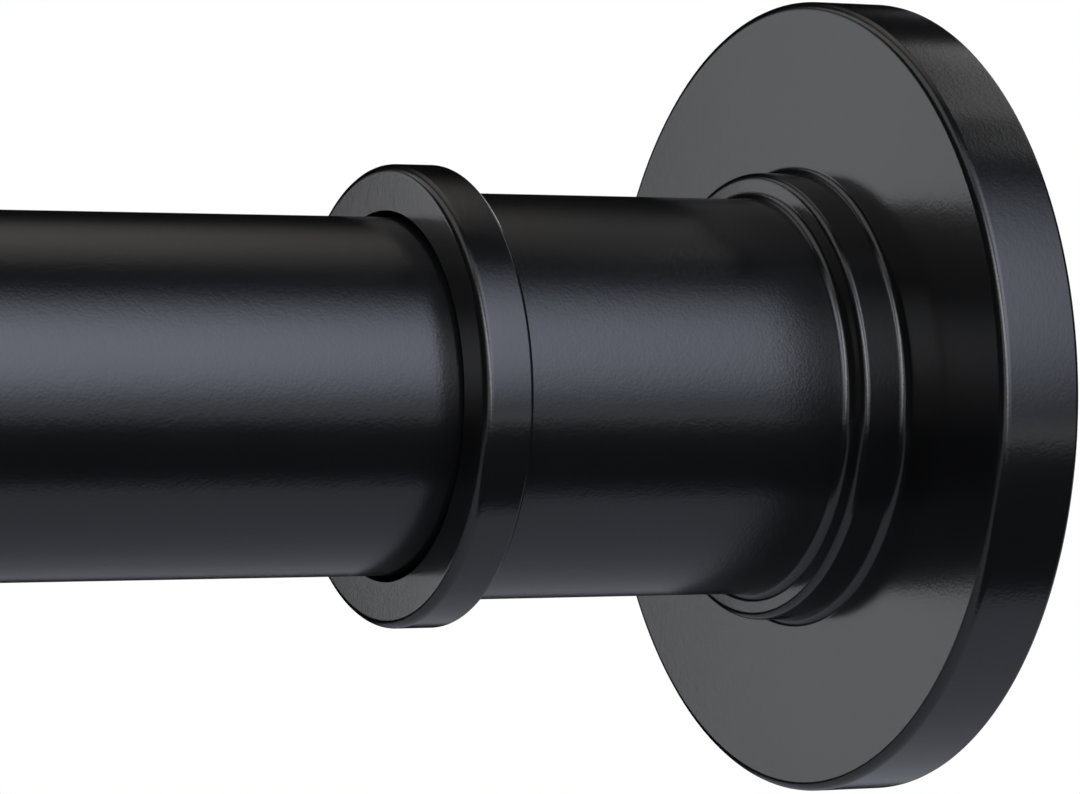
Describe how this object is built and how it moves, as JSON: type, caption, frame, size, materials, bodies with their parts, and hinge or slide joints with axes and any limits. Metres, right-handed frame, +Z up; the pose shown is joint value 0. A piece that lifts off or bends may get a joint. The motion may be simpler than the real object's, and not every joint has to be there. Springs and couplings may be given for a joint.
{
  "type": "spring tension rod",
  "caption": "Adjustable telescopic curtain rod wedged between two walls by a sprung end, with round flanges, rubber wall pads and a twist lock inside.",
  "frame": {"origin": "centre of the left rubber pad's wall face, on the rod's axis", "axes": "+X runs along the rod's axis from the left wall to the right wall and the sprung end, +Z is up"},
  "size_m": [0.4464, 0.051, 0.051],
  "materials": {
    "tube_coat": "satin black powder coat on steel tube",
    "flange_coat": "satin black moulding with a fine grain",
    "pad_rubber": "soft matt black rubber",
    "plug_plastic": "natural nylon moulding",
    "lock_plastic": "tough dark grey nylon",
    "zinc_steel": "bright zinc plated steel",
    "spring_steel": "oiled spring steel wire"
  },
  "bodies": {
    "outer_tube_end": {"outer_tube": "tube_coat", "left_flange": "flange_coat", "left_pad": "pad_rubber", "left_flange_screw": "zinc_steel", "left_end_plug": "plug_plastic", "left_collar": "flange_coat"},
    "lock_carrier": {"lock_sleeve": "lock_plastic"},
    "lock_cone": {"cone_nut": "lock_plastic"},
    "inner_rod": {"inner_tube": "tube_coat", "guide_bush": "plug_plastic", "coil_spring": "spring_steel", "spring_seat": "plug_plastic", "spindle_plug": "plug_plastic", "lock_spindle": "zinc_steel", "spindle_clip": "spring_steel"},
    "spring_end": {"spring_sleeve": "tube_coat", "right_flange": "flange_coat", "right_pad": "pad_rubber", "right_flange_screw": "zinc_steel", "right_end_plug": "plug_plastic", "right_collar": "flange_coat", "plunger_rod": "zinc_steel", "spring_follower": "plug_plastic", "follower_clip": "spring_steel"}
  },
  "joints": [
    {"name": "length_adjust", "type": "slide", "parent": "outer_tube_end", "child": "lock_carrier", "axis": [1, 0, 0], "range_m": [-0.04, 0.1632]},
    {"name": "twist_lock", "type": "hinge", "parent": "lock_carrier", "child": "inner_rod", "pos_m": [0.11779, 0, 0], "axis": [1, 0, 0], "range_deg": [-540, 0]},
    {"name": "cone_draw", "type": "slide", "parent": "lock_carrier", "child": "lock_cone", "axis": [1, 0, 0], "range_m": [-0.003, 0]},
    {"name": "spring_travel", "type": "slide", "parent": "inner_rod", "child": "spring_end", "axis": [-1, 0, 0], "range_m": [0, 0.015], "stiffness_N_per_m": 3500, "springref_m": -0.004, "deforming": ["coil_spring"]}
  ],
  "couplings": [
    {"joint": "cone_draw", "follows": "twist_lock", "m_per_rad": 0.0003183}
  ]
}
